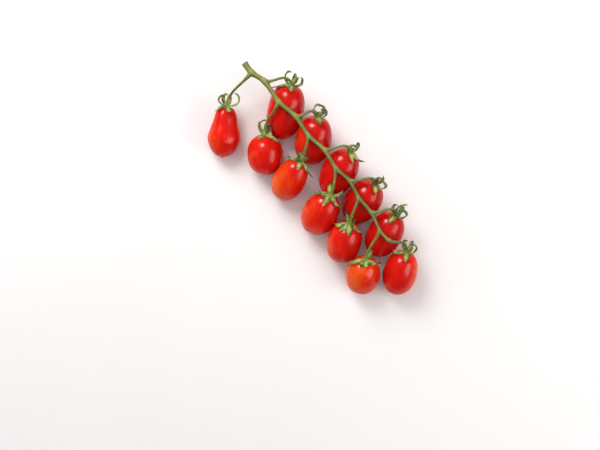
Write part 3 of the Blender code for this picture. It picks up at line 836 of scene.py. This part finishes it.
def settledCourse(fruit, sepal, order, surface):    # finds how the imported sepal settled
    bearing, length, lift, curl, swirl = sepal
    tries = [(bearing, length * share, lift + turn, curl, swirl)
             for share in calyxLook["lengthTries"] for turn in calyxLook["liftTries"]]
    tries.append((bearing, length * 0.25, max(lift, 10), 20, 0))
    best, bestGap = None, 1.0
    for tried in tries:
        course = packedCourse(fruit, tried, order)
        gaps = [surface.find_nearest(spot)[3] - halfDepth for spot, _, halfDepth in course[2:]]
        worst = max(*gaps, surface.find_nearest(course[-1][0])[3])
        if worst < bestGap:
            best, bestGap = course, worst
        if worst < calyxLook["settled"]:
            break
    return best


def sepalWidthAt(share, slim):    # half width, broad to past the middle and then a fine point
    swell = math.sin(math.pi * (0.25 + 0.75 * share)) ** 0.62 if share < 1.0 else 0.0
    return 0.5 * calyxLook["sepalWidth"] * slim * (0.03 + 0.97 * swell)


def sepalRows(fruit, course, curl, slim, dice):    # centre, across and away at each row
    rows = calyxLook["rows"]
    spots = [item[0] for item in course]
    sides = [item[1] for item in course]
    reach = 70.0 if curl > calyxLook["curled"] else 28.0
    twist = math.radians(dice.choice((-1.0, 1.0)) * dice.uniform(0.4, 1.0) * reach)
    lean = dice.uniform(0.4, 1.0)
    centres = []
    for row in range(rows + 1):
        share = row / rows
        spot = smoothAt(spots, share)
        margin = 0.5 * calyxLook["sepalThickness"] + calyxLook["drape"]
        margin += 0.8 * calyxLook["cup"] * sepalWidthAt(share, slim) * softStep(0.0, 0.3, share)
        near, normal, _, gap = fruit["surface"].find_nearest(spot)
        if row > 2 and (gap < margin or (spot - near).dot(normal) < 0.0):
            spot = near + normal * margin
        if gap < 0.002:
            spot = spot + normal * calyxLook["tipLift"] * lean * max(0.0, share - 0.6) ** 2 / 0.16
        centres.append(spot)
    result = []
    for row in range(rows + 1):
        tangent = (centres[min(row + 1, rows)] - centres[max(row - 1, 0)]).normalized()
        across = smoothAt(sides, row / rows)
        across = (across - tangent * across.dot(tangent)).normalized()
        turned = Matrix.Rotation(twist * (row / rows) ** 1.5, 3, tangent) @ across
        result.append((centres[row], turned, turned.cross(tangent)))
    return result


def sepalShape(fruit, course, curl, slim, dice):
    curled = curl > calyxLook["curled"]
    broad = slim * (1.3 if curled else 1.1)
    rows = sepalRows(fruit, course, curl, broad, dice)
    last = len(rows) - 1
    seed = dice.uniform(0.0, 50.0)

    def placeAt(turn, share):
        centre, across, away = rows[round(share * last)]
        width = sepalWidthAt(share, broad)
        width *= 1.0 + 0.16 * noise.noise(Vector((share * 7.0, seed, math.cos(turn))))
        depth = 1.5 - 0.8 * share if curled else 1.0 - 0.5 * share
        depth *= 0.5 * calyxLook["sepalThickness"]
        x = math.cos(turn)
        rib = calyxLook["rib"] * math.exp(-(x / 0.28) ** 2) * (1.0 - share)
        rib = rib if math.sin(turn) > 0.0 else 0.0
        wave = calyxLook["wave"] * math.sin(share * 17.0 + seed) * abs(x)
        cup = -calyxLook["cup"] * width * (x * x - 0.2) * softStep(0.0, 0.25, share)
        return centre + across * x * width + away * (math.sin(turn) * depth + rib + wave + cup)

    return rolledSkin(last, calyxLook["columns"], placeAt)


def shortStalk(fruit):    # receptacle, then the bent stalk up to the knuckle
    out, arrive = fruit["out"], fruit["arrive"]
    wide = 0.5 * calyxLook["receptacleWidth"]
    thin = 0.5 * calyxLook["stalkWidth"]
    thick = 0.5 * calyxLook["knuckleWidth"]
    top = fruit["seat"] + out * calyxLook["receptacleHeight"]
    knuckle = fruit["knuckle"]
    neck = knuckle - arrive * (calyxLook["knuckleReach"] * 0.3 - calyxLook["touchGap"])
    bend = (calyxLook["bendHeight"] - calyxLook["receptacleHeight"]) * 0.8
    bent = interpolate_bezier(top, top + out * bend, neck - arrive * bend, neck, 4)
    seat = fruit["seat"]
    key = [
        (seat - out * 0.0004, wide * 0.45), (seat + out * 0.0003, wide * 0.86),
        (seat + out * 0.0010, wide * 0.96), (bent[0], wide * 0.60), (bent[1], thin * 1.08),
        (bent[2], thin), (bent[3], thin * 1.15), (knuckle - arrive * 0.0004, thick),
        (knuckle, thick * 0.84),
    ]
    packed = [Vector((*spot, radius)) for spot, radius in key]
    count = calyxLook["stalkRows"]
    fine = [smoothAt(packed, index / count) for index in range(count + 1)]
    points = [Vector(item[:3]) for item in fine]
    return tubeSkin(points, [item[3] for item in fine], calyxLook["stalkSides"])


def addLeafMarks(bm, dry, isLeaf, seed):
    wither = bm.verts.layers.float.new("wither")
    leaf = bm.verts.layers.float.new("leaf")
    flow = bm.verts.layers.float_vector.new("flow")
    along = bm.verts.layers.float["along"]
    across = bm.verts.layers.float["across"]
    for vert in bm.verts:
        vert[flow] = (vert[across] * 2.2, seed, vert[along] * 4.0)
        vert[wither] = dry
        vert[leaf] = isLeaf


def buildCalyx(number, fruit):
    dice = random.Random(900 + number)
    surface = BVHTree.FromBMesh(mergedCopy(f"calyx_{number:02d}"))
    whole = bmesh.new()
    shells = [(shortStalk(fruit), 0.0, 0.0)]
    for order, sepal in enumerate(calyxLook["sepals"][number - 1]):
        course = settledCourse(fruit, sepal[:5], order, surface)
        shells.append((sepalShape(fruit, course, sepal[3], sepal[5], dice), sepal[6], 1.0))
    for order, (shell, dry, isLeaf) in enumerate(shells):
        addLeafMarks(shell, dry, isLeaf, order * 1.7 + number)
        joinShell(whole, shell)
    piece = addPiece(f"calyx{number:02d}", whole, calyxGreen)
    soft = piece.modifiers.new("soft", "SUBSURF")
    soft.levels = 1
    soft.render_levels = 1
    finishPiece(piece, f"calyx_{number:02d}")


for number, fruit in fruits.items():
    buildCalyx(number, fruit)


print("floor, lights and camera")

stageLook = {
    "floorSize": 3.0, "floorColor": (0.865, 0.86, 0.855),
    "worldColor": (1.0, 0.90, 0.88), "worldStrength": 0.22,
    "panels": [    # name, place, size, power, and whether it lights or only shines
        ("keyPanel", (-0.70, 0.10, 0.66), (0.50, 0.50), 7.3, True),
        ("leftPanel", (-0.49, -0.60, 0.45), (0.50, 0.50), 1.0, True),
        ("rightPanel", (0.48, 0.33, 0.45), (0.50, 0.36), 2.0, True),
        ("topPanel", (0.0, 0.0, 1.40), (1.20, 1.20), 5.2, True),
        ("keyGloss", (-0.66, 0.10, 0.72), (0.34, 0.34), 13.0, False),
        ("rightGloss", (0.52, 0.28, 0.46), (0.62, 0.44), 5.5, False),
    ],
    "lens": 85.0, "sensor": 36.0,
    "cameraPlace": (0.01368, -0.02619, 1.0067), "cameraTurn": 50.7,
}


def buildFloor():
    bm = bmesh.new()
    bmesh.ops.create_grid(bm, x_segments=1, y_segments=1, size=stageLook["floorSize"] * 0.5)
    bmesh.ops.translate(bm, vec=(0.0, 0.0, -0.0001), verts=bm.verts)
    material, tree, shader = startMaterial("paleFloor")
    patches = useMottle(tree, objectPlace(tree), 8.0, 400.0, 0.1)
    low = tuple(part * 0.985 for part in stageLook["floorColor"])
    color = blend(tree, patches["Patches"], low, stageLook["floorColor"])
    wire(tree, shader.inputs["Base Color"], color)
    shader.inputs["Roughness"].default_value = 0.75
    floor = addPiece("floor", bm, material)


def addPanel(name, spot, size, power, lights):
    light = bpy.data.lights.new(name, "AREA")
    light.shape = "RECTANGLE"
    light.size, light.size_y = size
    light.energy = power
    panel = bpy.data.objects.new(name, light)
    panel.location = spot
    panel.rotation_euler = (-Vector(spot)).to_track_quat("-Z", "Y").to_euler()
    panel.visible_glossy = not lights
    panel.visible_diffuse = lights
    bpy.context.scene.collection.objects.link(panel)


def addCamera():
    lens = bpy.data.cameras.new("camera")
    lens.lens = stageLook["lens"]
    lens.sensor_width = stageLook["sensor"]
    lens.clip_start = 0.01
    camera = bpy.data.objects.new("camera", lens)
    camera.location = stageLook["cameraPlace"]
    camera.rotation_euler = (0.0, 0.0, math.radians(stageLook["cameraTurn"]))
    bpy.context.scene.collection.objects.link(camera)
    bpy.context.scene.camera = camera


def addWorld():
    world = bpy.data.worlds.new("studio")
    world.use_nodes = True
    sky = world.node_tree.nodes["Background"].inputs
    sky["Color"].default_value = (*stageLook["worldColor"], 1.0)
    sky["Strength"].default_value = stageLook["worldStrength"]
    bpy.context.scene.world = world


buildFloor()
addWorld()
for panel in stageLook["panels"]:
    addPanel(*panel)
addCamera()
bpy.context.scene.view_settings.view_transform = "Standard"

print("done")
